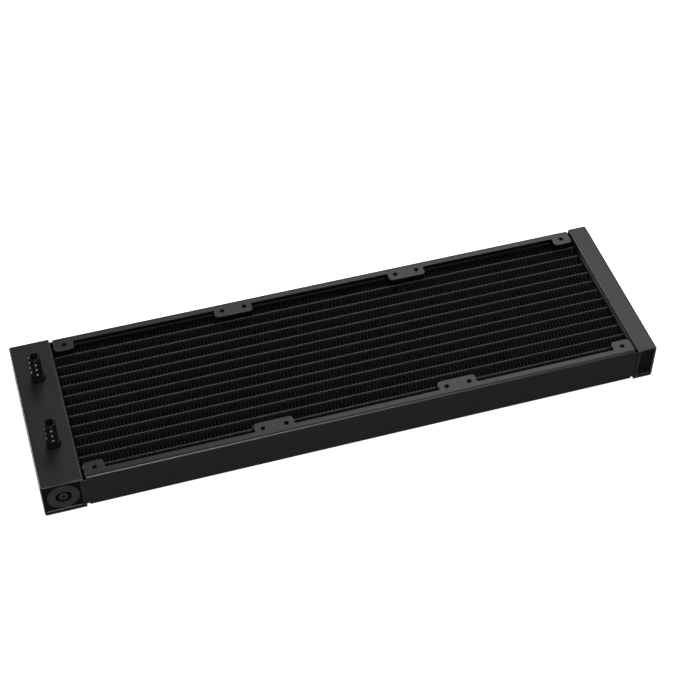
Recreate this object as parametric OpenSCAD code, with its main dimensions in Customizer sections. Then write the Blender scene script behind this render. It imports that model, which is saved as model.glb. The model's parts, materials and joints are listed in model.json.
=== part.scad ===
// Liquid cooling radiator for three fans in a row.
// A brazed aluminium core of flat tubes and corrugated fins runs along X between two tanks.
// The wide port tank is at the -X end and carries both hose barbs; the narrow return tank is at +X.
// The origin is the centre of the footprint, on the plane that the lower flanges rest on.

/* [Core] */
// Number of fans that fit side by side
fan_count = 3; // [1:1:3]
// Width of the place that one fan takes up
fan_w = 120; // [118:0.5:122]
// Distance between the screws of one fan
screw_pitch = 105; // [103:0.5:107]
// Length of the core, from header face to header face, beyond the row of fans
core_excess = 0.4; // [-1.6:0.1:1]
// Number of flat tubes, half of them for each pass
tube_count = 12; // [4:2:12]
// Distance between the centres of neighbouring tubes
tube_pitch = 8.58; // [7:0.01:8.58]
// Thickness of a flat tube
tube_t = 1.3; // [1:0.1:1.8]
// Depth of the tubes and fins, from face to face of the core
core_depth = 17.3; // [14:0.1:19]
// Wall of a flat tube
tube_wall = 0.3; // [0.2:0.05:0.4]
// Distance from one fin crest to the next on the same side
fin_period = 2.35; // [2:0.05:4]
// Thickness of the fin strip
fin_t = 0.1; // [0.08:0.01:0.2]

/* [Tanks] */
// Width of the tanks across the tube rows
tank_w = 120; // [120:0.5:124]
// Height of the tanks and of the rails
height = 27; // [27:0.5:34]
// Length of the tank that carries the barbs
port_tank_l = 26; // [25:0.5:32]
// Length of the tank that turns the coolant round
return_tank_l = 13; // [10:0.5:20]
// Sheet that the tank shells are bent from
shell_t = 1.2; // [1:0.1:1.5]
// Outer radius of the bends along a tank shell
shell_bend_r = 1.5; // [1.4:0.1:2]
// Depth of the end caps below the ends of the shell
cap_recess = 2; // [1.5:0.1:3]
// Thickness of the end caps and of the baffle
cap_t = 1.6; // [1:0.1:2]
// Sheet that the headers are drawn from
header_t = 2; // [1.5:0.1:2.5]
// How far the header's face stands out of the tank
header_land = 0.8; // [0.4:0.1:2]
// Margin between the header's raised face and the outline of the tank
header_margin = 2.8; // [2:0.1:3]

/* [Rails] */
// Sheet that the side rails are bent from
rail_t = 1.2; // [1:0.1:1.4]
// Outer radius of the rail's bends
rail_bend_r = 2; // [1.5:0.1:2.4]
// Step from the tank's end to the rail's outer face
rail_inset = 0.5; // [0:0.1:1]
// Width of the flanges, from the rail's outer face
flange_w = 5.4; // [4:0.1:7]
// Reach of the screw tabs, from the rail's outer face
tab_reach = 12.1; // [11:0.1:14]
// Gap between the end of a flange and the header's face
flange_gap = 1.2; // [0.4:0.1:2]
// Length of the tab at each end of a rail
end_tab_l = 12.7; // [11:0.1:14]
// Distance from a screw to the end of its shared tab
tab_margin = 5.05; // [4:0.05:6]
// Corner radius of the tabs
tab_r = 2; // [1:0.1:3]
// Radius where a tab meets the flange
tab_root_r = 1; // [0.5:0.1:2]
// Diameter of the tapped screw holes, at the pitch line of the thread
screw_hole_d = 3; // [2.8:0.05:3.5]
// Diameter of the drawn collar under each screw hole
collar_d = 5; // [4.4:0.1:6]
// Depth of the drawn collar
collar_h = 1.3; // [0.5:0.1:2]

/* [Barbs] */
// Distance from the port tank's outer end to the barbs
barb_inset = 14; // [12:0.5:15]
// Distance from the middle of the tank to each barb
barb_y = 28; // [20:0.5:30]
// Height of a barb above the tank
barb_h = 21; // [20.5:0.5:24]
// Diameter of the foot of a barb
barb_foot_d = 9; // [8:0.1:10]
// Height of the foot of a barb
barb_foot_h = 3; // [2:0.1:4]
// Diameter of a barb between its ridges
barb_root_d = 6; // [5.4:0.1:6.6]
// Diameter of the ridges
barb_ridge_d = 7.8; // [7.4:0.1:8.4]
// Diameter of the passage through a barb
barb_bore_d = 4.3; // [3.5:0.1:4.6]
// Number of ridges on a barb
ridge_count = 4; // [2:1:4]
// Distance from one ridge to the next
ridge_pitch = 4.5; // [3.6:0.1:4.5]
// Height of the lowest ridge above the tank
first_ridge = 6.2; // [5.5:0.1:6.2]

/* [Pressure relief] */
// Diameter of the plug's head
plug_head_d = 20; // [20:0.2:21]
// Thickness of the plug's head
plug_head_t = 1.3; // [1:0.1:1.8]
// Diameter of the plug's threaded shank
plug_shank_d = 15.9; // [15:0.1:16]
// Length of the thread, and of the travel that unscrews it
plug_thread_l = 6; // [5:0.5:7]
// Running clearance round the shank
plug_clearance = 0.05; // [0.03:0.01:0.1]
// Diameter of the round tool recess
plug_recess_d = 10.1; // [9:0.1:11]
// Depth of the tool recess
plug_recess_h = 3.5; // [2:0.1:5]
// Width across the flats of the drive hexagon inside the recess
plug_hex_af = 5.5; // [5:0.1:6]
// Diameter of the vent through the plug
vent_d = 2; // [1:0.1:2.5]
// Length of the bladder
bladder_l = 20; // [14:1:24]
// Outer diameter of the bladder
bladder_d = 13.6; // [12:0.1:14]

/* [Hidden] */
$fn = 64;
tiny = 0.01;

// Stations along X
core_l = fan_count * fan_w + core_excess;
overall_l = core_l + 2 * header_land + port_tank_l + return_tank_l;
port_outer_x = -overall_l / 2;
port_inner_x = port_outer_x + port_tank_l;
return_outer_x = overall_l / 2;
core_x = port_inner_x + header_land + core_l / 2;
barb_x = port_outer_x + barb_inset;

// Levels along Z
mid_z = height / 2;
core_low_z = mid_z - core_depth / 2;

// Core
tube_overlap = 1.5;
tube_l = core_l + 2 * (header_t + tube_overlap);
slot_clearance = 0.02;
fin_count = tube_count + 1;
fin_end_gap = 1.5;
fin_waves = floor((core_l - 2 * fin_end_gap) / fin_period);
fin_l = fin_waves * fin_period;
fin_joint = 0.02;
fin_h = tube_pitch - tube_t - 2 * fin_joint;
fin_slope = sqrt(pow(fin_h, 2) + pow(fin_period / 2, 2)) / (fin_period / 2);
fin_t_along_y = fin_t * fin_slope;
plate_y = fin_count * tube_pitch / 2 - tube_t / 2 + 0.03;
plate_t = 1;
plate_end_gap = 0.3;

// Headers and tanks
header_bend_t = 1.6;
header_bend_r = 1.5;
shell_inner_r = shell_bend_r - shell_t;
tank_inner_h = height - 2 * shell_t;
cap_y = tank_w / 2 - cap_recess;

// Rails
rail_face_y = tank_w / 2 - rail_inset;
rail_web_y = rail_face_y - rail_t;
flange_end = core_l / 2 - flange_gap;
screw_y = screw_pitch / 2;
fan_centres = [for (i = [0 : fan_count - 1]) (i - (fan_count - 1) / 2) * fan_w];
screw_xs = [for (c = fan_centres, s = [-1, 1]) c + s * screw_pitch / 2];

// Barbs
spigot_l = shell_t + 1;
spigot_clearance = 0.05;
ridge_land = 0.8;
ridge_shoulder = 0.5;
ridge_taper = 2.6;
barb_mouth_d = 6.6;

// Pressure relief plug, along the local +Z that points into the tank from the cap's outer face
plug_x = port_outer_x + port_tank_l / 2;
boss_d = 21.6;
boss_l = plug_thread_l + 2;
seal_seat_d = 19;
seal_seat_h = 1.25;
seal_section_r = 0.55;
seal_gap = 0.05;
nose_d = 10.4;
nose_l = 6;
nose_bead_d = 11;
nose_bore_d = 8.4;
hex_below_head = 0.3;
bladder_wall = 0.8;
bladder_fit = 0.03;
clamp_wall = 0.7;
clamp_l = 2.2;
clamp_start = 1.4;
clamp_fit = 0.01;

function two_digits(n) = n < 10 ? str("0", n) : str(n);
TUBES = [for (i = [1 : tube_count]) str("tube_", two_digits(i))];
FINS = [for (i = [1 : fin_count]) str("fin_", two_digits(i))];

satin_black = "#2b2b2c";
core_black = "#161617";
gloss_black = "#101011";
rubber_black = "#1b1b1b";
bare_metal = "#b8babd";

// ---- Shared outlines and helpers ----

// Rectangle with round corners, centred
module rounded_rectangle(w, h, r) {
    square([w - 2 * r, h], center = true);
    square([w, h - 2 * r], center = true);
    for (x = [-1, 1], y = [-1, 1]) {
        translate([x * (w / 2 - r), y * (h / 2 - r)]) circle(r = r);
    }
}

// Channel bent from sheet: its back lies on x = 0, its legs run to x = depth, centred on y
module channel_outline(depth, h, sheet, bend_r) {
    difference() {
        union() {
            translate([bend_r, -h / 2]) square([depth - bend_r, h]);
            translate([0, bend_r - h / 2]) square([bend_r + tiny, h - 2 * bend_r]);
            for (s = [-1, 1]) {
                translate([bend_r, s * (h / 2 - bend_r)]) circle(r = bend_r);
            }
        }
        channel_hollow(depth, h, sheet, bend_r - sheet);
    }
}

// The space between a channel's legs
module channel_hollow(depth, h, sheet, inner_r) {
    translate([sheet + inner_r, sheet - h / 2]) square([depth, h - 2 * sheet]);
    translate([sheet, sheet + inner_r - h / 2]) square([inner_r + tiny, h - 2 * (sheet + inner_r)]);
    for (s = [-1, 1]) {
        translate([sheet + inner_r, s * (h / 2 - sheet - inner_r)]) circle(r = inner_r);
    }
}

// Extrudes an outline drawn in (y, z) along X, centred on the core
module along_core(l) {
    translate([core_x - l / 2, 0, mid_z]) rotate([90, 0, 90]) linear_extrude(l) children();
}

// Mirrors the front (-Y) version of a piece to the rear
module rear() {
    mirror([0, 1, 0]) children();
}

// ---- Core ----

module tube_outline(grow = 0) {
    w = tube_t + 2 * grow;
    h = core_depth + 2 * grow;
    square([w, h - w], center = true);
    for (s = [-1, 1]) {
        translate([0, s * (h - w) / 2]) circle(d = w);
    }
}

function tube_y(i) = (i - (tube_count - 1) / 2) * tube_pitch;

module tube(i) {
    color(core_black) translate([0, tube_y(i), 0]) along_core(tube_l) {
        difference() {
            tube_outline();
            tube_outline(-tube_wall);
        }
    }
}

// One corrugated strip, folded across Y and running along X
module fin(i) {
    crest = (fin_h - fin_t_along_y) / 2;
    steps = 2 * fin_waves;
    centreline = [for (k = [0 : steps]) [k * fin_period / 2 - fin_l / 2, (k % 2 == 0 ? -1 : 1) * crest]];
    upper = [for (p = centreline) p + [0, fin_t_along_y / 2]];
    lower = [for (k = [steps : -1 : 0]) centreline[k] - [0, fin_t_along_y / 2]];
    color(core_black) translate([core_x, (i - (fin_count - 1) / 2) * tube_pitch, core_low_z]) {
        linear_extrude(core_depth) polygon(concat(upper, lower));
    }
}

// Folded channel that closes the core beside the outermost fins and carries the rail
module side_plate() {
    depth = rail_web_y - plate_y;
    color(core_black) translate([0, -plate_y, 0]) along_core(core_l - 2 * plate_end_gap) {
        mirror([1, 0]) channel_outline(depth, core_depth, plate_t, plate_t + 0.5);
    }
}

// ---- Rails ----

// Plan of the lower-left part of a flange: a strip with screw tabs, x from the core's centre, y from the rail's face
module flange_plan() {
    translate([-flange_end, 0]) square([2 * flange_end, flange_w]);
    for (s = [-1, 1]) {
        tab_plan(min(s * flange_end, s * (flange_end - end_tab_l)), end_tab_l);
    }
    if (fan_count > 1) {
        for (i = [0 : fan_count - 2]) {
            left = screw_xs[2 * i + 1] - tab_margin;
            tab_plan(left, screw_xs[2 * i + 2] + tab_margin - left);
        }
    }
}

// A tab with round corners and filleted roots
module tab_plan(left, l) {
    translate([left, flange_w / 2]) square([l, tab_reach - tab_r - flange_w / 2]);
    translate([left + tab_r, flange_w / 2]) square([l - 2 * tab_r, tab_reach - flange_w / 2]);
    for (x = [left + tab_r, left + l - tab_r]) {
        translate([x, tab_reach - tab_r]) circle(r = tab_r);
    }
    for (side = [0, 1]) {
        root_x = left + side * l;
        if (abs(root_x) < flange_end - tiny) {
            translate([root_x, flange_w]) mirror([1 - side, 0]) tab_fillet();
        }
    }
}

module tab_fillet() {
    difference() {
        translate([-tiny, -tiny]) square(tab_root_r + tiny);
        translate([tab_root_r, tab_root_r]) circle(r = tab_root_r);
    }
}

module rail() {
    color(satin_black) difference() {
        union() {
            intersection() {
                translate([0, -rail_face_y, 0]) along_core(2 * flange_end) {
                    channel_outline(tab_reach + 1, height, rail_t, rail_bend_r);
                }
                translate([core_x, -rail_face_y, -1]) linear_extrude(height + 2) flange_plan();
            }
            rail_tongues();
            screw_collars();
        }
        for (x = screw_xs) {
            translate([core_x + x, -screw_y, -1]) cylinder(d = screw_hole_d, h = height + 2);
        }
    }
}

// The rail's web runs on past the flanges until it meets each tank
module rail_tongues() {
    l = core_l + 2 * header_land;
    translate([core_x - l / 2, -rail_face_y, rail_bend_r]) cube([l, rail_t, height - 2 * rail_bend_r]);
}

module screw_collars() {
    for (x = screw_xs, z = [rail_t - tiny, height - rail_t - collar_h]) {
        translate([core_x + x, -screw_y, z]) cylinder(d = collar_d, h = collar_h + tiny);
    }
}

// ---- Tanks ----
// side is -1 for the port tank and 1 for the return tank

function tank_l(side) = side < 0 ? port_tank_l : return_tank_l;
function outer_x(side) = side < 0 ? port_outer_x : return_outer_x;

// Places a piece drawn with x = 0 on the tank's outer end and +x towards the core
module at_tank(side) {
    translate([outer_x(side), 0, 0]) mirror([side < 0 ? 0 : 1, 0, 0]) children();
}

module tank_shell(side) {
    at_tank(side) translate([0, tank_w / 2, mid_z]) rotate([90, 0, 0]) linear_extrude(tank_w) {
        channel_outline(tank_l(side), height, shell_t, shell_bend_r);
    }
}

module port_tank_shell() {
    color(satin_black) difference() {
        tank_shell(-1);
        for (s = [-1, 1]) {
            translate([barb_x, s * barb_y, mid_z]) {
                cylinder(d = barb_root_d + 2 * spigot_clearance, h = height);
            }
        }
    }
}

module return_tank_shell() {
    color(satin_black) tank_shell(1);
}

// Drawn pan: a flat rim inside the shell and a raised face, slotted for the tubes
module header(side) {
    land_w = tank_w - 2 * header_margin - 1;
    land_h = height - 2 * header_margin;
    l = tank_l(side);
    color(core_black) difference() {
        union() {
            at_tank(side) translate([l - header_t, -tank_w / 2, shell_t]) cube([header_t, tank_w, tank_inner_h]);
            at_tank(side) translate([l - tiny, 0, mid_z]) rotate([90, 0, 90]) {
                linear_extrude(header_land + tiny) rounded_rectangle(land_w, land_h, header_bend_r);
            }
        }
        at_tank(side) translate([l - header_t - 1, 0, mid_z]) rotate([90, 0, 90]) {
            linear_extrude(header_land + 1) {
                rounded_rectangle(land_w - 2 * header_bend_t, land_h - 2 * header_bend_t, header_bend_r / 2);
            }
        }
        for (i = [0 : tube_count - 1]) {
            translate([0, tube_y(i), 0]) along_core(tube_l + 4) tube_outline(slot_clearance);
        }
    }
}

// Outline of a tank's inside between its outer wall and its header, in (x, z)
module end_plate(side) {
    w = tank_l(side) - shell_t - header_t;
    translate([shell_t + w / 2, mid_z]) rounded_rectangle(w, tank_inner_h, shell_inner_r);
}

module front_cap(side) {
    at_tank(side) translate([0, -cap_y + cap_t, 0]) rotate([90, 0, 0]) linear_extrude(cap_t) end_plate(side);
}

// Places a piece drawn along +Z, into the tank from the front cap's outer face, on the plug's axis
module on_plug_axis() {
    translate([plug_x, -cap_y, mid_z]) rotate([-90, 0, 0]) children();
}

module port_tank_front_cap() {
    color(satin_black) difference() {
        union() {
            front_cap(-1);
            on_plug_axis() translate([0, 0, cap_t / 2]) cylinder(d = boss_d, h = boss_l - cap_t / 2);
        }
        on_plug_axis() translate([0, 0, -1]) cylinder(d = plug_shank_d + 2 * plug_clearance, h = boss_l + 2);
        on_plug_axis() translate([0, 0, -1]) cylinder(d = seal_seat_d, h = seal_seat_h + 1);
    }
}

module port_tank_rear_cap() {
    color(satin_black) rear() front_cap(-1);
}

module return_tank_front_cap() {
    color(satin_black) front_cap(1);
}

module return_tank_rear_cap() {
    color(satin_black) rear() front_cap(1);
}

// Wall between the two passes; its nose closes the hollow behind the header's face
module port_tank_baffle() {
    nose_h = height - 2 * header_margin - 2 * header_bend_t;
    color(bare_metal) at_tank(-1) {
        translate([0, cap_t / 2, 0]) rotate([90, 0, 0]) linear_extrude(cap_t) end_plate(-1);
        translate([port_tank_l - header_t - tiny, -cap_t / 2, mid_z - nose_h / 2]) {
            cube([header_land + tiny, cap_t, nose_h]);
        }
    }
}

// ---- Barbs ----

function ridge_z(i) = first_ridge + i * ridge_pitch;

// Half profile of one ridge: a steep shoulder below, a short land, a long taper above
function ridge_points(i) = [
    [barb_root_d / 2, ridge_z(i) - ridge_land / 2 - ridge_shoulder],
    [barb_ridge_d / 2, ridge_z(i) - ridge_land / 2],
    [barb_ridge_d / 2, ridge_z(i) + ridge_land / 2],
    i < ridge_count - 1 ? [barb_root_d / 2, ridge_z(i) + ridge_land / 2 + ridge_taper] : [barb_mouth_d / 2, barb_h]
];

module barb(side) {
    foot = [
        [barb_bore_d / 2, -spigot_l],
        [barb_root_d / 2, -spigot_l],
        [barb_root_d / 2, 0],
        [barb_foot_d / 2, 0],
        [barb_foot_d / 2, barb_foot_h - 0.5],
        [barb_foot_d / 2 - 0.5, barb_foot_h],
        [barb_root_d / 2, barb_foot_h]
    ];
    ridges = [for (i = [0 : ridge_count - 1]) each ridge_points(i)];
    mouth = [[barb_bore_d / 2, barb_h]];
    color(gloss_black) translate([barb_x, side * barb_y, height]) {
        rotate_extrude() polygon(concat(foot, ridges, mouth));
    }
}

// ---- Pressure relief ----

module relief_plug() {
    color(satin_black) on_plug_axis() difference() {
        union() {
            translate([0, 0, -plug_head_t]) cylinder(d = plug_head_d, h = plug_head_t);
            translate([0, 0, -tiny]) cylinder(d = plug_shank_d, h = plug_thread_l + tiny);
            translate([0, 0, plug_thread_l - tiny]) cylinder(d = nose_d, h = nose_l + tiny);
            translate([0, 0, plug_thread_l + nose_l - 1]) cylinder(d = nose_bead_d, h = 1);
        }
        translate([0, 0, -plug_head_t - 1]) difference() {
            cylinder(d = plug_recess_d, h = plug_recess_h + 1);
            translate([0, 0, 1 + hex_below_head]) {
                cylinder(d = plug_hex_af / cos(30), h = plug_recess_h + 1, $fn = 6);
            }
        }
        translate([0, 0, -plug_head_t - 1]) cylinder(d = vent_d, h = plug_head_t + plug_thread_l + 2);
        translate([0, 0, plug_thread_l - 1]) cylinder(d = nose_bore_d, h = nose_l + 2);
    }
}

module plug_o_ring() {
    ring_r = plug_shank_d / 2 + seal_gap + seal_section_r;
    color(rubber_black) on_plug_axis() translate([0, 0, seal_gap + seal_section_r]) {
        rotate_extrude() translate([ring_r, 0]) circle(r = seal_section_r);
    }
}

// Thimble that slips over the plug's nose and opens only to the vent
module relief_bladder() {
    start = plug_thread_l + 0.3;
    neck_d = nose_d + 2 * bladder_wall;
    neck_l = nose_l - 1.2;
    body_start = start + nose_l;
    inner_d = bladder_d - 2 * bladder_wall;
    grip_r = nose_d / 2 + bladder_fit;
    bead_r = nose_bead_d / 2 + bladder_fit;
    color(rubber_black) on_plug_axis() rotate_extrude() polygon([
        [grip_r, start],
        [neck_d / 2, start],
        [neck_d / 2, start + neck_l],
        [bladder_d / 2, body_start],
        [bladder_d / 2, start + bladder_l - 2],
        [bladder_d / 2 - 2, start + bladder_l],
        [0, start + bladder_l],
        [0, start + bladder_l - bladder_wall],
        [inner_d / 2 - 2, start + bladder_l - bladder_wall],
        [inner_d / 2, start + bladder_l - 2 - bladder_wall],
        [inner_d / 2, body_start + 0.6],
        [bead_r, body_start - 0.3],
        [bead_r, start + neck_l - 0.2],
        [grip_r, start + neck_l - 0.3]
    ]);
}

// Band that holds the bladder's neck on the plug's nose
module bladder_clamp() {
    neck_d = nose_d + 2 * bladder_wall;
    color(bare_metal) on_plug_axis() translate([0, 0, plug_thread_l + clamp_start]) difference() {
        cylinder(d = neck_d + 2 * clamp_wall, h = clamp_l);
        translate([0, 0, -1]) cylinder(d = neck_d + 2 * clamp_fit, h = clamp_l + 2);
    }
}

// ---- Nodes ----

rail();  // rail_front
rear() rail();  // rail_rear
side_plate();  // side_plate_front
rear() side_plate();  // side_plate_rear
port_tank_shell();
header(-1);  // port_header
port_tank_front_cap();
port_tank_rear_cap();
port_tank_baffle();
return_tank_shell();
header(1);  // return_header
return_tank_front_cap();
return_tank_rear_cap();
barb(-1);  // inlet_barb
barb(1);  // outlet_barb
relief_plug();
plug_o_ring();
relief_bladder();
bladder_clamp();
for (i = [0 : tube_count - 1]) tube(i);
for (i = [0 : fin_count - 1]) fin(i);
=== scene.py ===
"""Looks of the liquid cooling radiator: detailed meshes, materials, studio and camera.

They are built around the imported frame. Lengths are in metres. Flat patterns are drawn in (u, v) and
have their thickness along n.
"""
import cmath
import json
import math

import bmesh
import bpy
import numpy as np
from mathutils import Matrix, Vector
from mathutils.geometry import tessellate_polygon


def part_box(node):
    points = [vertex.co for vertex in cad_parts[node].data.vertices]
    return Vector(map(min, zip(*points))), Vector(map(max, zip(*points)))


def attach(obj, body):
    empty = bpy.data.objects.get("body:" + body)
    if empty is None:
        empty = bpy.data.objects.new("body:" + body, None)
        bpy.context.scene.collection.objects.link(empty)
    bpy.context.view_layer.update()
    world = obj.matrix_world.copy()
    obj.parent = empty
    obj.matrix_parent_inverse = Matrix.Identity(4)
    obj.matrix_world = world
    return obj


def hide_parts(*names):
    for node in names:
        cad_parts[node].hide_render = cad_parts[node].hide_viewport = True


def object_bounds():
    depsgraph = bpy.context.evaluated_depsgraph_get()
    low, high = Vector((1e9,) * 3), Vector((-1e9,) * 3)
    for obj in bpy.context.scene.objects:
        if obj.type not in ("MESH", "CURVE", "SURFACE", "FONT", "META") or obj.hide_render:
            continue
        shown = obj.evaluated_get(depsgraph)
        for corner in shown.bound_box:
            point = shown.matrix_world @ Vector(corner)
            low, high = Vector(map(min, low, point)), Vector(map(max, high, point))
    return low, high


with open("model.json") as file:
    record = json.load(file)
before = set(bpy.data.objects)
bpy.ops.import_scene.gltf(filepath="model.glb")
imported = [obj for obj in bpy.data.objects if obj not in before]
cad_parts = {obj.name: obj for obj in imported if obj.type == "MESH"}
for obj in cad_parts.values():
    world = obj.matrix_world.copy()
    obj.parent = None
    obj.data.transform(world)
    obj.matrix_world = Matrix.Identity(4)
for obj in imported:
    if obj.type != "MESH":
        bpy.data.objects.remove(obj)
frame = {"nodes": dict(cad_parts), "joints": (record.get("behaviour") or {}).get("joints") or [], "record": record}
cad_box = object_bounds()

MM = 0.001
NODES = frame["nodes"]
MOUNTS = {m["name"]: m for m in frame["record"]["mounts"]}
SLOTS = {s["node"]: s["material_slot"] for s in frame["record"]["subparts"]}

# ---- Sizes that the frame gives ----

port_low, port_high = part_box("port_tank_shell")
return_low, return_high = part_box("return_tank_shell")
rail_low, rail_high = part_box("rail_front")
fin_low, fin_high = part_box("fin_01")
HEIGHT = port_high.z
MID_Z = HEIGHT / 2
CORE_X = (rail_low.x + rail_high.x) / 2
RAIL_FACE_Y = -rail_low.y
TAB_REACH = rail_high.y - rail_low.y
FAN_MOUNTS = [MOUNTS[f"top_fan_{place}"] for place in ("left", "middle", "right")]
SCREW_Y = FAN_MOUNTS[0]["dims"]["spacing_y_mm"] / 2 * MM
HALF_SCREW_PITCH = FAN_MOUNTS[0]["dims"]["spacing_x_mm"] / 2 * MM
SCREW_XS = [m["pos_m"][0] - CORE_X + side * HALF_SCREW_PITCH for m in FAN_MOUNTS for side in (-1, 1)]
SCREW_R = FAN_MOUNTS[0]["dims"]["hole_r_mm"] * MM
BARB_X = MOUNTS["inlet_barb_hose"]["pos_m"][0]
BARB_Y = MOUNTS["outlet_barb_hose"]["pos_m"][1]
PLUG_TURN = next(j for j in frame["joints"] if j["name"] == "plug_turn")

# ---- Sizes that several pieces are drawn with ----

SHEET_T = 1.2 * MM
EDGE_R = 0.22 * MM
HOLE_EDGE_R = 0.12 * MM
CORNER_STEPS = 3
BEND_STEPS = 7
ARC_STEPS = 8
BEAD_STEPS = 4
TOLERANCE = 1e-8
SUPPORT = 0.35 * MM  # from a rounded edge to the points that hold the flat face beside it
SUNK = 0.1 * MM  # how far a braze fillet or a collar reaches into the part that it sits on
SHARP_ANGLE = 38
FIN_SHARP_ANGLE = 50
CAD_SHARP_ANGLE = 30

# The ridge of a thread: its half widths are shares of the pitch, and its ends fade to a share of its height.
THREAD_SUNK = 0.03 * MM
ROOT_HALF = 0.4
CREST_HALF = 0.09
THREAD_END = 0.02


# ---- Outlines and meshes ----


def arc(x, y, r, start, end, steps=ARC_STEPS):
    """Points along an arc, with its angles in degrees."""
    angles = np.radians(np.linspace(start, end, steps + 1))
    return [(x + r * math.cos(a), y + r * math.sin(a)) for a in angles]


def rounded(points, radii, steps=4):
    """A closed outline whose corners are arcs: radii has one radius for each point, 0 for a sharp corner."""
    corners = [complex(*p) for p in points]
    outline = []
    for i, (corner, r) in enumerate(zip(corners, radii)):
        if r == 0:
            outline.append((corner.real, corner.imag))
            continue
        to_last = corners[i - 1] - corner
        to_next = corners[(i + 1) % len(corners)] - corner
        to_last /= abs(to_last)
        to_next /= abs(to_next)
        half = abs(cmath.phase(to_next / to_last)) / 2
        middle = to_last + to_next
        centre = corner + middle / abs(middle) * r / math.sin(half)
        first = corner + to_last * r / math.tan(half) - centre
        sweep = cmath.phase((corner + to_next * r / math.tan(half) - centre) / first)
        for k in range(steps + 1):
            point = centre + first * cmath.exp(1j * sweep * k / steps)
            outline.append((point.real, point.imag))
    return outline


def outline_mm(corners):
    """A rounded outline in metres, from corners of (radius, height, rounding) in millimetres."""
    points = [(r * MM, height * MM) for r, height, _ in corners]
    return rounded(points, [rounding * MM for _, _, rounding in corners])


def rectangle(low_u, low_v, high_u, high_v, r=0):
    """A counter-clockwise rectangle, with round corners if r isn't 0."""
    corners = [(low_u, low_v), (high_u, low_v), (high_u, high_v), (low_u, high_v)]
    return rounded(corners, [r] * 4)


def round_hole(u, v, r, steps=48):
    """A clockwise loop round a hole."""
    return arc(u, v, r, 0, -360, steps)[:-1]


def inset(loop, distance):
    """A closed loop moved to its left-hand side, where an outline's and a hole's material lies."""
    points = np.array(loop, float)
    along = np.roll(points, -1, axis=0) - points
    left = np.stack([-along[:, 1], along[:, 0]], axis=1) / np.linalg.norm(along, axis=1)[:, None]
    before = np.roll(left, 1, axis=0)
    return points + distance * (left + before) / (1 + np.sum(left * before, axis=1))[:, None]


def rings(levels, closed):
    """Faces between rings of equal length; closed joins the last ring to the first."""
    count = len(levels[0])
    verts = [tuple(v) for level in levels for v in level]
    faces = []
    for i in range(len(levels) if closed else len(levels) - 1):
        a, b = i * count, (i + 1) % len(levels) * count
        faces += [(a + j, a + (j + 1) % count, b + (j + 1) % count, b + j) for j in range(count)]
    return verts, faces


def join(*parts):
    """Several (vertices, faces) pairs as one."""
    verts, faces = [], []
    for more_verts, more_faces in parts:
        faces += [tuple(i + len(verts) for i in f) for f in more_faces]
        verts += list(more_verts)
    return verts, faces


def mapped(part, place):
    """The same faces with each vertex put through place(a, b, c)."""
    return [place(*v) for v in part[0]], part[1]


def filled(verts, loops):
    """Triangles between loops of vertex numbers that lie in one plane: an outline and its holes."""
    outlines = [[Vector((verts[i][0], verts[i][1], 0)) for i in loop] for loop in loops]
    flat = [i for loop in loops for i in loop]
    return [tuple(flat[k] for k in triangle) for triangle in tessellate_polygon(outlines)]


def plate(loops, thickness):
    """A flat solid with rounded edges. loops holds (points, edge radius): the outline, then clockwise holes.

    A ring of support points lies just inside each rounded edge, so that the pale edge colour (worn paint, and on
    the powder coat a painted highlight too) stays on the edge.
    """
    quarter = [math.pi / 2 * k / CORNER_STEPS for k in range(CORNER_STEPS + 1)]
    verts, faces, bottom, top = [], [], [], []
    for points, r in loops:
        lower = [(r + SUPPORT, 0)] + [(r * (1 - math.sin(a)), r * (1 - math.cos(a))) for a in quarter]
        profile = lower + [(d, thickness - n) for d, n in reversed(lower)]
        levels = [[(u, v, n) for u, v in inset(points, d)] for d, n in profile]
        start = len(verts)
        verts, faces = join((verts, faces), rings(levels, closed=False))
        bottom.append(range(start, start + len(points)))
        top.append(range(len(verts) - len(points), len(verts)))
    return verts, faces + filled(verts, bottom) + filled(verts, top)


def supported(profile):
    """A closed profile with points added just inside the ends of its long straight stretches."""
    points = []
    for i, (a, b) in enumerate(zip(profile, profile[1:] + profile[:1])):
        a, b = complex(*a), complex(*b)
        points.append((a.real, a.imag))
        if abs(b - a) > 3 * SUPPORT:
            step = (b - a) / abs(b - a) * SUPPORT
            points += [((a + step).real, (a + step).imag), ((b - step).real, (b - step).imag)]
    return points


def lathe(profile, segments=96):
    """Turns a closed (radius, height) profile about the third axis; a point on the axis is one vertex."""
    profile = supported(profile)
    verts, faces, levels = [], [], []
    for r, height in profile:
        count = segments if r > 0 else 1
        levels.append(range(len(verts), len(verts) + count))
        turn = [2 * math.pi * j / segments for j in range(count)]
        verts += [(r * math.cos(a), r * math.sin(a), height) for a in turn]
    for low, high in zip(levels, levels[1:] + levels[:1]):
        for j in range(segments):
            k = (j + 1) % segments
            corners = (low[j % len(low)], low[k % len(low)], high[k % len(high)], high[j % len(high)])
            face = tuple(dict.fromkeys(corners))
            if len(face) > 2:
                faces.append(face)
    return verts, faces


def thread(wall_r, crest_r, pitch, start, end, segments=24):
    """A right-hand thread: one ridge wound from start to end, fading in and out over a quarter turn."""
    steps = round((end - start) / pitch * segments)
    root_r = wall_r + math.copysign(THREAD_SUNK, wall_r - crest_r)
    levels = []
    for i in range(steps + 1):
        a = 2 * math.pi * i / segments
        height = start + pitch * i / segments
        fade = min(1, 4 * i / segments + THREAD_END, 4 * (steps - i) / segments + THREAD_END)
        crest = wall_r + (crest_r - wall_r) * fade
        section = [(root_r, -ROOT_HALF), (crest, -CREST_HALF), (crest, CREST_HALF), (root_r, ROOT_HALF)]
        levels.append([(r * math.cos(a), r * math.sin(a), height + w * pitch * fade) for r, w in section])
    verts, faces = rings(levels, closed=False)
    return verts, faces + [(0, 1, 2, 3), tuple(range(len(verts) - 4, len(verts)))]


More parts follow.
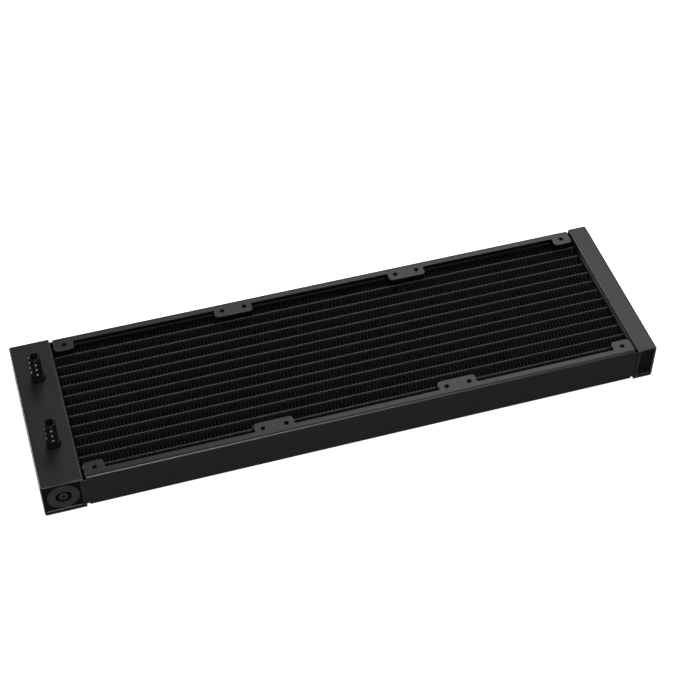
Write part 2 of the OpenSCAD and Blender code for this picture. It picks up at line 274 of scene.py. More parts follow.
def bead(loop, leg):
    """A braze fillet along a loop, where a wall stands on a plane; its hollow side faces left and up."""
    section = [(-SUNK, leg), (-SUNK, -SUNK), (leg, -SUNK)]
    turn = [math.pi / 2 * k / BEAD_STEPS for k in range(BEAD_STEPS + 1)]
    section += [(leg * (1 - math.sin(a)), leg * (1 - math.cos(a))) for a in turn]
    return rings([[(u, v, n) for u, v in inset(loop, d)] for d, n in section], closed=True)


def folded(part, half_height, r):
    """Folds a flat pattern into a channel across v, with outer bend radius r: (u, depth, height)."""
    flat = half_height - r
    turn = r * math.pi / 2
    mesh = bmesh.new()
    corners = [mesh.verts.new(v) for v in part[0]]
    for face in part[1]:
        mesh.faces.new([corners[i] for i in face])
    in_bend = [flat + turn * k / BEND_STEPS for k in range(BEND_STEPS + 1)]
    stations = [flat - SUPPORT, *in_bend, flat + turn + SUPPORT]
    for v in [side * station for side in (-1, 1) for station in stations]:
        geometry = mesh.verts[:] + mesh.edges[:] + mesh.faces[:]
        bmesh.ops.bisect_plane(mesh, geom=geometry, dist=TOLERANCE, plane_co=(0, v, 0), plane_no=(0, 1, 0))
    mesh.verts.index_update()
    verts = []
    for vert in mesh.verts:
        u, v, n = vert.co
        past = abs(v) - flat
        side = math.copysign(1, v)
        if past <= 0:
            verts.append((u, n, v))
        elif past <= turn:
            a = past / r
            verts.append((u, r - (r - n) * math.cos(a), side * (flat + (r - n) * math.sin(a))))
        else:
            verts.append((u, r + past - turn, side * (half_height - n)))
    faces = [tuple(v.index for v in face.verts) for face in mesh.faces]
    mesh.free()
    return verts, faces


def pattern_v(depth, half_height, r):
    """Where a point on a folded leg, at this depth from the channel's back, lies in the flat pattern."""
    return half_height - r + r * math.pi / 2 + depth - r


def add_piece(name, part, slot, body="root", stands_for=(), sharp=SHARP_ANGLE, material=None):
    """Makes a piece from (vertices, faces) in the row frame, in its slot's material unless one is given."""
    mesh = bpy.data.meshes.new(name)
    mesh.from_pydata(part[0], [], part[1])
    work = bmesh.new()
    work.from_mesh(mesh)
    bmesh.ops.recalc_face_normals(work, faces=work.faces)
    work.to_mesh(mesh)
    work.free()
    mesh.materials.append(material or MATERIALS[slot])
    mesh.shade_smooth()
    mesh.set_sharp_from_angle(angle=math.radians(sharp))
    obj = bpy.data.objects.new(name, mesh)
    bpy.context.scene.collection.objects.link(obj)
    weighted = obj.modifiers.new("weighted_normals", "WEIGHTED_NORMAL")
    weighted.keep_sharp = True
    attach(obj, body)
    if stands_for:
        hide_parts(*stands_for)
    return obj


# ---- Materials ----


class Shader:
    """A material under construction: it makes nodes and links them in one call."""

    def __init__(self, name):
        self.material = bpy.data.materials.new(name)
        self.material.use_nodes = True
        self.tree = self.material.node_tree
        self.surface = self.tree.nodes["Principled BSDF"]
        self.place = self.tree.nodes.new("ShaderNodeTexCoord").outputs["Object"]

    def node(self, kind, links=None, values=None, **settings):
        made = self.tree.nodes.new("ShaderNode" + kind)
        for key, value in settings.items():
            setattr(made, key, value)
        for key, value in (values or {}).items():
            made.inputs[key].default_value = value
        for key, source in (links or {}).items():
            self.tree.links.new(source, made.inputs[key])
        return made

    def noise(self, size, detail=3.0, roughness=0.55, stretch=(1, 1, 1)):
        """Noise with cells of about this size, 0 to 1 with a mean of a half."""
        scaled = self.node("Mapping", {"Vector": self.place}, {"Scale": [s / size for s in stretch]})
        values = {"Scale": 1.0, "Detail": detail, "Roughness": roughness}
        return self.node("TexNoise", {"Vector": scaled.outputs["Vector"]}, values).outputs["Fac"]

    def ramp(self, source, low, high, out_low=0.0, out_high=1.0):
        """Maps low..high of a source onto out_low..out_high, and clamps it there."""
        values = {"From Min": low, "From Max": high, "To Min": out_low, "To Max": out_high}
        return self.node("MapRange", {"Value": source}, values, clamp=True).outputs["Result"]

    def mix(self, share, first, second):
        """Blends two colours, each a colour or an output, by an output."""
        mixed = self.node("Mix", {"Factor": share}, data_type="RGBA")
        for key, colour in (("A", first), ("B", second)):
            socket = [s for s in mixed.inputs if s.name == key and s.type == "RGBA"][0]
            if isinstance(colour, bpy.types.NodeSocket):
                self.tree.links.new(colour, socket)
            else:
                socket.default_value = (*colour, 1)
        return [s for s in mixed.outputs if s.type == "RGBA"][0]

    def math(self, operation, first, second):
        """Combines two values, each a number or an output."""
        made = self.node("Math", operation=operation)
        for i, value in enumerate((first, second)):
            if isinstance(value, bpy.types.NodeSocket):
                self.tree.links.new(value, made.inputs[i])
            else:
                made.inputs[i].default_value = value
        return made.outputs["Value"]

    def absolute(self, value):
        return self.math("ABSOLUTE", value, 0)

    def along(self, axis):
        """The position along an axis."""
        return self.node("SeparateXYZ", {"Vector": self.place}).outputs[axis]

    def normal(self, axis):
        """One part of the surface's normal."""
        normal = self.node("NewGeometry").outputs["Normal"]
        return self.node("SeparateXYZ", {"Vector": normal}).outputs[axis]

    def edges(self, low, high):
        """0 on flat surfaces and 1 on convex edges."""
        return self.ramp(self.node("NewGeometry").outputs["Pointiness"], low, high)

    def bump(self, height, depth, under=None):
        """Bump of this depth in metres, over another bump's normal if one is given."""
        links = {"Height": height}
        if under is not None:
            links["Normal"] = under
        return self.node("Bump", links, {"Strength": 1.0, "Distance": depth}).outputs["Normal"]

    def finish(self, colour, roughness=None, normal=None, gloss=None, **values):
        """Links outputs to the surface, and sets the values that are the same everywhere."""
        sources = {"Base Color": colour, "Roughness": roughness, "Normal": normal}
        sources["Specular IOR Level"] = gloss
        for key, source in sources.items():
            if source is not None:
                self.tree.links.new(source, self.surface.inputs[key])
        for key, value in values.items():
            self.surface.inputs[key.replace("_", " ")].default_value = value
        return self.material


def bends(s):
    """1 where the surface turns between upright and level, as on bends, fillets and rounded edges."""
    facing_z = s.absolute(s.normal("Z"))
    return s.math("MULTIPLY", s.ramp(facing_z, 0.15, 0.3), s.ramp(facing_z, 0.97, 0.9))


def core_shade_mask(s):
    """1 on the faces and edges of the rails that look towards the core, and 0 elsewhere: the mask of a painted
    shade.
    """
    outward = s.math("MULTIPLY", s.normal("Y"), s.along("Y"))
    tab_y = RAIL_FACE_Y - TAB_REACH
    return s.ramp(outward, -0.7 * tab_y, -0.9 * tab_y)


def coat_bump(s, grain):
    """A fine grain over the soft waves of orange peel."""
    peel = s.bump(s.noise(1.1 * MM, 1), 0.012 * MM)
    return s.bump(grain, 0.006 * MM, peel)


def powder_coat(name, shine):
    """Satin black powder coat: faint mottling, worn edges that are also a painted highlight, glossy bends, painted
    shade towards the core.
    """
    s = Shader(name)
    mottling = s.ramp(s.noise(9 * MM, 4), 0.3, 0.7)
    grain = s.noise(0.22 * MM, 2)
    specks = s.ramp(grain, 0.62, 0.8, 0, 0.35)
    worn = s.math("MULTIPLY", s.edges(0.55, 0.61), s.ramp(grain, 0.3, 0.55))
    inner = core_shade_mask(s)
    colour = s.mix(mottling, (0.0098, 0.0098, 0.01), (0.0116, 0.0116, 0.0118))
    colour = s.mix(specks, colour, (0.03, 0.03, 0.031))
    # Worn edges: real wear, painted pale enough that it also stands in for the highlights the edges catch.
    colour = s.mix(worn, colour, (0.065, 0.065, 0.066))
    # Painted shade: faces that look towards the core are painted near black and lose their sheen, for the shade
    # under the flanges.
    colour = s.mix(inner, colour, (0.003, 0.003, 0.003))
    roughness = s.ramp(s.noise(2.4 * MM, 5), 0.25, 0.75, 0.30, 0.36)
    outer_gloss = s.ramp(bends(s), 0, 1, shine, 3.2 * shine)
    gloss = s.math("MULTIPLY", outer_gloss, s.math("SUBTRACT", 1.0, inner))
    return s.finish(colour, roughness, coat_bump(s, grain), gloss)


def shaded_coat(name, bend_shine, least_roughness):
    """Powder coat painted darker as shade, for pieces set back from the outer faces, where shade falls."""
    s = Shader(name)
    mottling = s.ramp(s.noise(5 * MM, 4), 0.3, 0.7)
    grain = s.noise(0.2 * MM, 2)
    specks = s.ramp(grain, 0.62, 0.8, 0, 0.3)
    # Painted shade: these colours are darker than the outer coat's, for pieces that sit in shade.
    colour = s.mix(mottling, (0.003, 0.003, 0.0031), (0.0055, 0.0055, 0.0056))
    colour = s.mix(specks, colour, (0.014, 0.014, 0.0142))
    roughness = s.ramp(s.noise(2 * MM, 5), 0.25, 0.75, least_roughness, least_roughness + 0.13)
    gloss = s.ramp(bends(s), 0, 1, 0.1, 0.1 + bend_shine)
    return s.finish(colour, roughness, coat_bump(s, grain), gloss)


def core_paint():
    """Thin matte black over brazed aluminium: dusty mottling, flux grain, and paler worn crests."""
    s = Shader("matte_core_paint")
    mottling = s.ramp(s.noise(3 * MM, 5), 0.3, 0.7)
    grain = s.noise(0.12 * MM, 3)
    worn = s.math("MULTIPLY", s.edges(0.52, 0.62), s.ramp(grain, 0.35, 0.6))
    colour = s.mix(mottling, (0.0035, 0.0035, 0.0036), (0.0075, 0.0075, 0.0076))
    colour = s.mix(worn, colour, (0.02, 0.02, 0.02))
    roughness = s.ramp(grain, 0.3, 0.7, 0.32, 0.42)
    return s.finish(colour, roughness, s.bump(grain, 0.006 * MM), Specular_IOR_Level=0.3)


def fin_paint():
    """The core's paint on thin strip, streaked; painted shade darkens its flanks, a painted highlight pales its
    cut edges.
    """
    s = Shader("dull_fin_paint")
    streaks = s.ramp(s.noise(0.8 * MM, 4, stretch=(1, 1, 0.2)), 0.3, 0.7)
    grain = s.noise(0.1 * MM, 2)
    # Painted highlight: cut edges facing up or down are painted paler for the light they catch.
    edge_highlight = s.ramp(s.absolute(s.normal("Z")), 0.85, 0.98)
    # Painted shade: the flanks are darker than the core paint, for the shade deep in the core.
    colour = s.mix(streaks, (0.0008, 0.0008, 0.0008), (0.002, 0.002, 0.0021))
    colour = s.mix(edge_highlight, colour, (0.022, 0.022, 0.0222))
    roughness = s.ramp(grain, 0.3, 0.7, 0.36, 0.48)
    return s.finish(colour, roughness, s.bump(grain, 0.004 * MM), Specular_IOR_Level=0.1)


def gloss_paint():
    """Glossy black on the turned barbs, with faint turning rings under the film and fine dust specks."""
    s = Shader("gloss_barb_paint")
    turning = s.noise(0.35 * MM, 2, stretch=(0.02, 0.02, 1))
    specks = s.ramp(s.noise(0.3 * MM, 1), 0.7, 0.78, 0, 0.5)
    colour = s.mix(specks, (0.005, 0.005, 0.0053), (0.03, 0.03, 0.03))
    colour = s.mix(s.edges(0.53, 0.62), colour, (0.012, 0.012, 0.0125))
    roughness = s.ramp(s.noise(1.5 * MM, 4), 0.3, 0.7, 0.2, 0.28)
    return s.finish(colour, roughness, s.bump(turning, 0.006 * MM), Specular_IOR_Level=0.42)


def moulded_plastic():
    """Matte black moulded plastic: a spark-eroded texture, polished edges, and painted shade that darkens it with
    depth.
    """
    s = Shader("matte_moulded_plastic")
    texture = s.noise(0.16 * MM, 2)
    flow = s.ramp(s.noise(6 * MM, 3), 0.3, 0.7)
    seat_y = PLUG_TURN["pos_m"][1]
    # Painted shade: the plastic darkens the deeper it lies in the cap's boss.
    deep = s.ramp(s.along("Y"), seat_y - 0.6 * MM, seat_y + 0.8 * MM)
    colour = s.mix(flow, (0.016, 0.016, 0.0163), (0.021, 0.021, 0.0213))
    colour = s.mix(s.edges(0.52, 0.6), colour, (0.034, 0.034, 0.0345))
    colour = s.mix(deep, colour, (0.002, 0.002, 0.0021))
    roughness = s.ramp(texture, 0.3, 0.7, 0.4, 0.52)
    return s.finish(colour, roughness, s.bump(texture, 0.008 * MM), Specular_IOR_Level=0.25)


def moulded_rubber():
    """Nitrile rubber: a dull bloom in patches over a faintly pitted surface."""
    s = Shader("moulded_rubber")
    bloom = s.ramp(s.noise(4 * MM, 5), 0.4, 0.7)
    pits = s.noise(0.25 * MM, 3)
    colour = s.mix(bloom, (0.014, 0.014, 0.0142), (0.026, 0.026, 0.026))
    roughness = s.ramp(bloom, 0, 1, 0.55, 0.75)
    return s.finish(colour, roughness, s.bump(pits, 0.012 * MM), Specular_IOR_Level=0.35)


def bare_metal(name, tint, rolling, size):
    """Bare sheet metal with rolling or brushing lines along one axis, and a mottled stain."""
    s = Shader(name)
    lines = s.noise(size, 3, stretch=rolling)
    stain = s.ramp(s.noise(5 * MM, 5), 0.3, 0.7)
    darker = tuple(0.75 * c for c in tint)
    colour = s.mix(stain, tint, darker)
    roughness = s.ramp(lines, 0.25, 0.75, 0.25, 0.45)
    return s.finish(colour, roughness, s.bump(lines, 0.004 * MM), Metallic=1.0)


MATERIALS = {
    "frame_paint": powder_coat("satin_powder_coat", 0.16),
    "core_paint": core_paint(),
    "barb_paint": gloss_paint(),
    "plug_plastic": moulded_plastic(),
    "seal_rubber": moulded_rubber(),
    "bare_aluminium": bare_metal("mill_aluminium", (0.72, 0.73, 0.74), (1, 1, 0.03), 0.3 * MM),
    "clamp_steel": bare_metal("brushed_steel", (0.58, 0.58, 0.59), (1, 0.05, 1), 0.2 * MM),
}

BRIGHT_COAT = powder_coat("bright_powder_coat", 0.2)
# Coats whose darker colour is painted shade: one for set-back pieces, and one with glossy bends for the cap
# fillets.
PAINTED_SHADE_COAT = shaded_coat("thin_recess_paint", 0.05, 0.45)
FILLET_PAINT = shaded_coat("glossy_fillet_paint", 0.7, 0.27)
FIN_PAINT = fin_paint()


def dress_cad_nodes():
    """Gives every CAD node a material and smooth shading. The painted ones that show are all set back, so they get
    the coat whose darker colour is painted shade.
    """
    for name, node in NODES.items():
        slot = SLOTS[name]
        painted = slot in ("frame_paint", "core_paint")
        node.data.materials.clear()
        node.data.materials.append(PAINTED_SHADE_COAT if painted else MATERIALS[slot])
        node.data.shade_smooth()
        node.data.set_sharp_from_angle(angle=math.radians(CAD_SHARP_ANGLE))


# ---- Tank shells ----

SHELL_EDGE_R = 0.55 * MM
SHELL_BEND_R = 1.5 * MM
BARB_HOLE_R = 3.05 * MM
CAP_CORNER_R = 0.5 * MM
CAP_BEAD = 0.9 * MM


def tank_shell(name, low, high, side, holes):
    """A sheet bent round three sides of a tank. Its back faces side * X; holes are (y, depth, r)."""
    leg_end = pattern_v(high.x - low.x, MID_Z, SHELL_BEND_R)
    loops = [(rectangle(low.y, -leg_end, high.y, leg_end), SHELL_EDGE_R)]
    for y, depth, r in holes:
        loops.append((round_hole(y, pattern_v(depth, MID_Z, SHELL_BEND_R), r), HOLE_EDGE_R))
    sheet = folded(plate(loops, SHEET_T), MID_Z, SHELL_BEND_R)
    back = low.x if side < 0 else high.x
    bent = mapped(sheet, lambda u, d, h: (back - side * d, u, MID_Z + h))
    add_piece(name + "_bent", bent, SLOTS[name], stands_for=[name])


def cap_bead(name, end):
    """The braze fillet between a tank's cap and the walls of the recess that it closes."""
    low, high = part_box(name)
    y = low.y if end < 0 else high.y
    loop = rectangle(low.x, low.z, high.x, high.z, CAP_CORNER_R)
    part = mapped(bead(loop, CAP_BEAD), lambda u, v, n: (u, y + end * n, v))
    add_piece(name + "_braze", part, SLOTS[name], material=FILLET_PAINT)


def make_tanks():
    """The shells of both tanks, and the fillets round their four caps."""
    barb_depth = BARB_X - port_low.x
    barb_holes = [(side * BARB_Y, barb_depth, BARB_HOLE_R) for side in (-1, 1)]
    tank_shell("port_tank_shell", port_low, port_high, -1, barb_holes)
    tank_shell("return_tank_shell", return_low, return_high, 1, [])
    for tank in ("port", "return"):
        cap_bead(tank + "_tank_front_cap", -1)
        cap_bead(tank + "_tank_rear_cap", 1)


# ---- Rails ----

RAIL_BEND_R = 2 * MM
FLANGE_W = 5.4 * MM
FLANGE_STEP = 2.0 * MM
TONGUE_STEP = 0.5 * MM
END_TAB_L = 12.7 * MM
TAB_MARGIN = 5.05 * MM
TAB_R = 2 * MM
TAB_ROOT_R = 1 * MM
COLLAR_R = 2.5 * MM
COLLAR_H = 1.3 * MM
COLLAR_FOOT = 0.35 * MM
COLLAR_EDGE_R = 0.1 * MM
COLLAR_ROOT_R = 0.3 * MM
SCREW_STEPS = 32
SCREW_PITCH = 0.5 * MM
SCREW_THREAD_H = 0.2 * MM
SCREW_THREAD_STEPS = 20
SCREW_LEAD = 0.55 * MM
COAT_T = 0.03 * MM


def tab_edge(left, right, at_left_end, at_right_end):
    """The edge of one screw tab from left to right, in (x, depth), with round corners and filleted roots."""
    points = []
    root = FLANGE_W + TAB_ROOT_R
    if not at_left_end:
        points += arc(left - TAB_ROOT_R, root, TAB_ROOT_R, -90, 0)
    points += arc(left + TAB_R, TAB_REACH - TAB_R, TAB_R, 180, 90)
    points += arc(right - TAB_R, TAB_REACH - TAB_R, TAB_R, 90, 0)
    if not at_right_end:
        points += arc(right + TAB_ROOT_R, root, TAB_ROOT_R, 180, 270)
    return points


def flange_edge(end):
    """The inner edge of a flange from -end to end, in (x, depth)."""
    points = tab_edge(-end, -end + END_TAB_L, True, False)
    for i in range(1, len(SCREW_XS) - 1, 2):
        points += tab_edge(SCREW_XS[i] - TAB_MARGIN, SCREW_XS[i + 1] + TAB_MARGIN, False, False)
    return points + tab_edge(end - END_TAB_L, end, False, True)


def rail(name, side):
    """A rail folded from its flat pattern: web, two flanges with screw tabs, and a tongue at each end."""
    reach = (rail_high.x - rail_low.x) / 2
    end = reach - FLANGE_STEP
    tongue = MID_Z - RAIL_BEND_R - TONGUE_STEP
    upper = [(x, pattern_v(d, MID_Z, RAIL_BEND_R)) for x, d in flange_edge(end)]
    lower = [(x, -v) for x, v in reversed(upper)]
    right = [(end, tongue), (reach, tongue), (reach, -tongue), (end, -tongue)]
    left = [(-x, -v) for x, v in right]
    outline = (upper + right + lower + left)[::-1]
    screw_v = pattern_v(RAIL_FACE_Y - SCREW_Y, MID_Z, RAIL_BEND_R)
    holes = [round_hole(x, s * screw_v, SCREW_R, SCREW_STEPS) for x in SCREW_XS for s in (-1, 1)]
    loops = [(outline, EDGE_R)] + [(hole, HOLE_EDGE_R) for hole in holes]
    sheet = folded(plate(loops, SHEET_T), MID_Z, RAIL_BEND_R)
    body = mapped(sheet, lambda u, d, h: (CORE_X + u, side * (RAIL_FACE_Y - d), MID_Z + h))
    parts = []
    for x in SCREW_XS:
        for s in (-1, 1):
            parts += screw_hole(CORE_X + x, side * SCREW_Y, s)
    add_piece(name + "_folded", body, SLOTS[name], stands_for=[name], material=BRIGHT_COAT)
    # The collars and threads behind the screw holes are painted darker, as the shade inside the holes.
    add_piece(name + "_screw_collars", join(*parts), SLOTS[name], material=PAINTED_SHADE_COAT)


def screw_hole(x, y, s):
    """The drawn collar behind a screw hole and the thread in it, on the upper (s = 1) or lower flange."""
    deep = SHEET_T + COLLAR_H
    points = [(SCREW_R + SUNK, HOLE_EDGE_R), (SCREW_R - COAT_T, HOLE_EDGE_R), (SCREW_R - COAT_T, deep)]
    points += [(COLLAR_R, deep), (COLLAR_R, SHEET_T + COLLAR_FOOT), (COLLAR_R + COLLAR_FOOT, SHEET_T - SUNK)]
    points.append((SCREW_R + SUNK, SHEET_T - SUNK))
    radii = [0, 0, COLLAR_EDGE_R, COLLAR_ROOT_R, COLLAR_ROOT_R, 0, 0]
    collar = lathe(rounded(points, radii), SCREW_STEPS)
    crest_r = SCREW_R - SCREW_THREAD_H
    thread_end = deep - SCREW_PITCH / 2
    ridge = thread(SCREW_R, crest_r, SCREW_PITCH, SCREW_LEAD, thread_end, SCREW_THREAD_STEPS)
    face = MID_Z + s * MID_Z

    def place(a, b, n):
        return x + a, y - s * b, face - s * n

    return mapped(collar, place), mapped(ridge, place)


# ---- Core ----

HEADER_T = 2 * MM
HEADER_RIM_Y = 3.3 * MM
HEADER_RIM_Z = 1.6 * MM
HEADER_BEND_T = 1.6 * MM
SHOULDER_W = 0.75 * MM
HEADER_CORNER_R = 0.3 * MM
HEADER_FOOT_R = 1.5 * MM
SHOULDER_STEPS = 6
TUBE_WALL = 0.3 * MM
TUBE_STEPS = 12
TUBE_BEAD = 0.6 * MM
FIN_T = 0.1 * MM
FIN_PERIOD = 2.35 * MM
FIN_CREST_R = 0.27 * MM
FIN_ARC_STEPS = 4
FIN_RIM = 1.15 * MM
LOUVRES = 10
LOUVRE_ANGLE = math.radians(24)
LOUVRE_MARGIN = 0.45 * MM
LOUVRE_OVERLAP = 0.05 * MM
RIM_OVERLAP = 0.02 * MM
TUBES = sorted(name for name in NODES if name.startswith("tube_"))
FINS = sorted(name for name in NODES if name.startswith("fin_"))


def stadium(low, high, wall=0.0):
    """Outline of a flat tube in (y, z), counter-clockwise, with round narrow edges."""
    r = (high.y - low.y) / 2
    y = (high.y + low.y) / 2
    top = arc(y, high.z - r, r - wall, 0, 180, TUBE_STEPS)
    return top + arc(y, low.z + r, r - wall, 180, 360, TUBE_STEPS)


def header(name, side):
    """A header drawn from sheet: a rim, a round shoulder, and a raised face with a slot round each tube."""
    low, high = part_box(name)
    land = high.x - low.x - HEADER_T
    rim_x = high.x - land if side < 0 else low.x + land
    rim = rectangle(low.y, low.z, high.y, high.z, HEADER_CORNER_R)
    foot_y, foot_z = high.y - HEADER_RIM_Y, high.z - HEADER_RIM_Z
    foot = rectangle(low.y + HEADER_RIM_Y, low.z + HEADER_RIM_Z, foot_y, foot_z, HEADER_FOOT_R)
    hollow = inset(foot, HEADER_BEND_T)
    profile = [(hollow, land - HEADER_T), (hollow, -HEADER_T), (rim, -HEADER_T), (rim, 0)]
    for k in range(SHOULDER_STEPS + 1):
        rise = (1 - math.cos(math.pi * k / SHOULDER_STEPS)) / 2
        profile.append((inset(foot, SHOULDER_W * k / SHOULDER_STEPS), land * rise))
    verts, faces = rings([[(u, v, n) for u, v in loop] for loop, n in profile], closed=False)
    count = len(rim)
    front, back = [range(len(verts) - count, len(verts))], [range(count)]
    for tube in TUBES:
        slot = stadium(*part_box(tube))[::-1]
        start = len(verts)
        levels = [[(u, v, n) for u, v in slot] for n in (land - HEADER_T, land)]
        verts, faces = join((verts, faces), rings(levels, closed=False))
        back.append(range(start, start + len(slot)))
        front.append(range(start + len(slot), len(verts)))
    part = verts, faces + filled(verts, front) + filled(verts, back)
    drawn = mapped(part, lambda u, v, n: (rim_x - side * n, u, v))
    add_piece(name + "_drawn", drawn, SLOTS[name], stands_for=[name])


def make_tubes():
    """Flat tubes with open ends, and the braze fillets round them on both headers."""
    header_faces = (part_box("port_header")[1].x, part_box("return_header")[0].x)
    fillets = {"port_header": [], "return_header": []}
    for name in TUBES:
        low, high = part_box(name)
        outer, inner = stadium(low, high), stadium(low, high, TUBE_WALL)
        levels = [[(x, y, z) for y, z in loop] for loop, x in
                  ((outer, low.x), (outer, high.x), (inner, high.x), (inner, low.x))]
        add_piece(name + "_tube", rings(levels, closed=True), SLOTS[name], stands_for=[name])
        ring = bead(outer[::-1], TUBE_BEAD)
        for parts, x, way in zip(fillets.values(), header_faces, (1, -1)):
            parts.append(mapped(ring, lambda u, v, n: (x + way * n, u, v)))
    for header_name, parts in fillets.items():
        add_piece(header_name + "_braze", join(*parts), "core_paint")


def fin_sides(waves, half_h):
    """The two sides of the folded strip: right and left arcs for each crest, in (x, y) about its middle."""
    crest_y = half_h - FIN_T / 2 - FIN_CREST_R
    step = FIN_PERIOD / 2
    centres = math.hypot(step, 2 * crest_y)
    slope = math.atan2(2 * crest_y, step) + math.asin(2 * FIN_CREST_R / centres)
    away = math.degrees(math.pi / 2 - slope)
    crests = []
    for k in range(2 * waves + 1):
        up = k % 2
        x = (k - waves) * step
        y = crest_y if up else -crest_y
        turn = (180 - away, away) if up else (-180 + away, -away)
        inner, outer = FIN_CREST_R - FIN_T / 2, FIN_CREST_R + FIN_T / 2
        right_r, left_r = (inner, outer) if up else (outer, inner)
        right = arc(x, y, right_r, *turn, FIN_ARC_STEPS)
        left = arc(x, y, left_r, *turn, FIN_ARC_STEPS)
        crests.append((right, left))
    return crests


def ribbon(right, left, low_z, high_z):
    """A closed strip between two polylines and two heights."""
    levels = [[(*r, low_z), (*r, high_z), (*l, high_z), (*l, low_z)] for r, l in zip(right, left)]
    verts, faces = rings(levels, closed=False)
    return verts, faces + [(0, 1, 2, 3), tuple(range(len(verts) - 4, len(verts)))]


def extended(points, length):
    """A polyline with both its ends carried on along the strip."""
    first, second, last_but_one, last = (complex(*points[i]) for i in (0, 1, -2, -1))
    start = first + (first - second) / abs(first - second) * length
    end = last + (last - last_but_one) / abs(last - last_but_one) * length
    return [(start.real, start.imag), *points, (end.real, end.imag)]


def fin_mesh(low, high):
    """One louvred corrugated fin about its own middle; the louvres lean one way in each half of its depth."""
    waves = round((high.x - low.x) / FIN_PERIOD)
    half_h = (high.y - low.y) / 2
    half_depth = (high.z - low.z) / 2
    crests = fin_sides(waves, half_h)
    right = [p for crest in crests for p in crest[0]]
    left = [p for crest in crests for p in crest[1]]
    parts = [ribbon(right, left, s * half_depth, s * (half_depth - FIN_RIM)) for s in (-1, 1)]
    inside = half_depth - FIN_RIM + RIM_OVERLAP
    for crest in crests:
        right, left = (extended(side, LOUVRE_MARGIN) for side in crest)
        parts.append(ribbon(right, left, -inside, inside))
    pitch = 2 * (half_depth - FIN_RIM) / (LOUVRES + 1)
    for before, after in zip(crests, crests[1:]):
        start = (np.array(before[0][-1]) + before[1][-1]) / 2
        end = (np.array(after[0][0]) + after[1][0]) / 2
        parts += flank_louvres(start, end, pitch)
    return join(*parts)


def flank_louvres(start, end, pitch):
    """The slats of one flank; the middle one is flat."""
    along = (end - start) / np.linalg.norm(end - start)
    across = np.array([-along[1], along[0], 0.0])
    upright = np.array([0, 0, 1.0])
    gap = along * (LOUVRE_MARGIN - LOUVRE_OVERLAP)
    first, last = start + gap, end - gap
    slats = []
    for k in range(LOUVRES + 1):
        place = k - LOUVRES / 2
        lean = LOUVRE_ANGLE * np.sign(place)
        wide = pitch / 2 * (np.cos(lean) * upright + np.sin(lean) * across)
        thick = FIN_T / 2 * (np.cos(lean) * across - np.sin(lean) * upright)
        corners = [-wide - thick, wide - thick, wide + thick, thick - wide]
        levels = [[np.array([*point, place * pitch]) + c for c in corners] for point in (first, last)]
        verts, faces = rings(levels, closed=False)
        slats.append((verts, faces + [(0, 1, 2, 3), (4, 5, 6, 7)]))
    return slats


def make_fins():
    """All fins share one mesh."""
    strip = fin_mesh(fin_low, fin_high)
    first = add_piece("fin_strip", strip, "core_paint", sharp=FIN_SHARP_ANGLE, material=FIN_PAINT)
    mesh = first.data
    bpy.data.objects.remove(first)
    for name in FINS:
        low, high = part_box(name)
        obj = bpy.data.objects.new(name + "_strip", mesh)
        bpy.context.scene.collection.objects.link(obj)
        obj.location = (low + high) / 2
        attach(obj, "root")
        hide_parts(name)


# ---- Barbs ----

BARB_COLLAR_EDGE_R = 0.4 * MM
BARB_BEAD = 0.55 * MM


def barb_body(height):
    """Profile of a turned barb: rounded ridges that are steep below, and a thin chamfered mouth."""
    bore_r, root_r, ridge_r = 2.15, 3.0, 3.9
    neck_r, mouth_r = 3.1, 2.75
    spigot, neck_l, chamfer_l = 2.2, 0.8, 1.7
    first, pitch, count = 6.2, 4.5, 4
    below, steep, crest, above = -0.85, -0.75, 0.35, 1.2
    corners = [(bore_r, -spigot, 0.2), (root_r, -spigot, 0.2)]
    for i in range(count):
        z = first + i * pitch
        corners += [(root_r, z + below, 0.2), (ridge_r, z + steep, 0.4), (ridge_r, z + crest, 0.9)]
        if i < count - 1:
            corners.append((root_r, z + above, 0.5))
    top = height / MM
    corners += [(neck_r, top - neck_l, 0.3), (mouth_r, top, 0.15), (bore_r, top - chamfer_l, 0.2)]
    return outline_mm(corners)


def barb_axes(side):
    """From a barb's own axes to the row frame."""
    return lambda a, b, n: (BARB_X + a, side * BARB_Y + b, HEIGHT + n)


def make_barbs():
    """Hose barbs with a collar at the foot and the braze fillet round it, both dark as painted shade at the foot.
    """
    foot_r, foot_h, inside_r = 4.5 * MM, 3 * MM, 2.8 * MM
    body = lathe(barb_body(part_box("inlet_barb")[1].z - HEIGHT))
    outline = [(inside_r, -SUNK), (foot_r, -SUNK), (foot_r, foot_h), (inside_r, foot_h)]
    collar = lathe(rounded(outline, [0, 0, BARB_COLLAR_EDGE_R, 0]))
    ring = bead(arc(0, 0, foot_r, 360, 0, 96)[:-1], BARB_BEAD)
    for name, side in (("inlet_barb", -1), ("outlet_barb", 1)):
        slot, place = SLOTS[name], barb_axes(side)
        add_piece(name + "_turned", mapped(body, place), slot, stands_for=[name])
        # The collar and the braze fillet take the darker coat, painted shade at the barb's foot.
        add_piece(name + "_collar", mapped(collar, place), slot, stands_for=[name], material=PAINTED_SHADE_COAT)
        add_piece(name + "_braze", mapped(ring, place), "frame_paint", material=PAINTED_SHADE_COAT)


# ---- Relief plug ----

PLUG_PITCH = 1.5 * MM
PLUG_CREST_R = 7.95 * MM
PLUG_ROOT_R = 7.3 * MM
SEAT_WALL_R = 8 * MM
SEAT_CREST_R = 7.4 * MM
THREAD_STEPS = 96
PLUG_STEPS = 128
VENT_R = 1.2 * MM
HEX_FLAT = 2.75 * MM
HEX_CORNER_R = 0.5 * MM
HEX_EDGE_R = 0.3 * MM
VENT_EDGE_R = 0.2 * MM
HEX_FACE = -1 * MM
HEX_H = 3.3 * MM


def on_plug_axis(a, b, n):
    """From the plug's own axes, with n into the tank, to the row frame, without mirroring."""
    x, y, z = PLUG_TURN["pos_m"]
    return x + a, y + n, z - b


